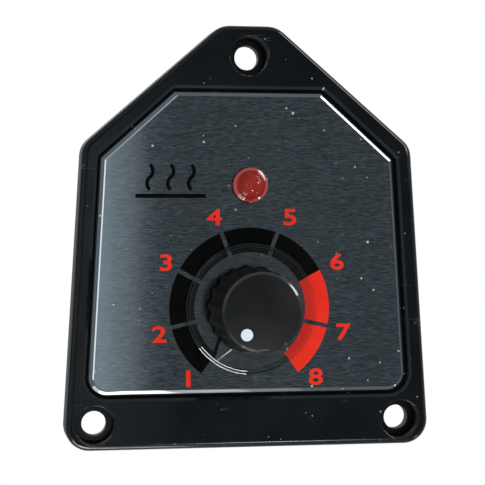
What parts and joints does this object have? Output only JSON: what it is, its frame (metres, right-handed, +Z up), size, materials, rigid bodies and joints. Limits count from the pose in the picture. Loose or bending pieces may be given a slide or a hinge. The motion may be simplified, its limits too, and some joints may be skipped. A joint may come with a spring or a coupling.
{
  "type": "impulse sealer timer panel",
  "caption": "House-shaped timer panel of a hand impulse sealer: moulded frame, bevelled metal dial plate, red lamp and fluted timer knob, with the timer board behind it.",
  "frame": {"origin": "midway between the two lower screw holes, on the plane of the panel's rear rim", "axes": "+Z up the panel, +Y to the rear into the machine, +X to the right seen from the front"},
  "size_m": [0.082, 0.0466, 0.0941],
  "materials": {
    "panel_plastic": "glossy black moulding",
    "adhesive_film": "translucent film",
    "dial_metal": "dark brushed face with a polished bevel",
    "lamp_red": "diffused red resin",
    "tinned_wire": "tinned",
    "spacer_nylon": "natural nylon",
    "bushing_metal": "nickel plated",
    "plated_steel": "zinc plated",
    "wafer_laminate": "brown laminate",
    "shaft_metal": "turned",
    "rotor_plastic": "moulded",
    "spring_bronze": "rolled",
    "knob_plastic": "satin black moulding",
    "clear_plastic": "clear acrylic",
    "white_paint": "white",
    "insert_brass": "turned",
    "board_laminate": "green lacquer over laminate",
    "chip_plastic": "moulded black resin",
    "relay_plastic": "blue moulding",
    "film_resin": "dark red resin case",
    "can_sleeve": "shrunk sleeve on a metal can",
    "resistor_enamel": "tan enamel with colour bands",
    "tinned_brass": "tinned"
  },
  "bodies": {
    "panel": {"front_panel": "panel_plastic", "plate_adhesive": "adhesive_film", "dial_plate": "dial_metal", "lamp_led": "lamp_red", "lamp_leads": "tinned_wire", "lamp_spacer": "spacer_nylon", "pot_bushing": "bushing_metal", "pot_washer": "plated_steel", "pot_nut": "plated_steel", "pot_cover": "plated_steel", "pot_wafer": "wafer_laminate", "pot_terminals": "tinned_wire", "circuit_board": "board_laminate", "board_screws": "plated_steel", "relay_base": "chip_plastic", "relay_case": "relay_plastic", "film_capacitor": "film_resin", "timing_capacitor": "can_sleeve", "supply_capacitor": "can_sleeve", "timer_chip": "chip_plastic", "chip_legs": "tinned_wire", "resistors": "resistor_enamel", "resistor_leads": "tinned_wire", "diodes": "chip_plastic", "diode_leads": "tinned_wire", "transistor": "chip_plastic", "transistor_legs": "tinned_wire", "blade_terminals": "tinned_brass"},
    "knob": {"knob_body": "knob_plastic", "knob_skirt": "clear_plastic", "knob_dot": "white_paint", "knob_insert": "insert_brass", "knob_set_screw": "plated_steel", "pot_shaft": "shaft_metal", "shaft_clip": "plated_steel", "pot_rotor": "rotor_plastic", "pot_wiper": "spring_bronze"}
  },
  "joints": [
    {"name": "knob_turn", "type": "hinge", "parent": "panel", "child": "knob", "pos_m": [0, 0, 0.0253], "axis": [0, 1, 0], "range_deg": [-4, 292.4]}
  ]
}
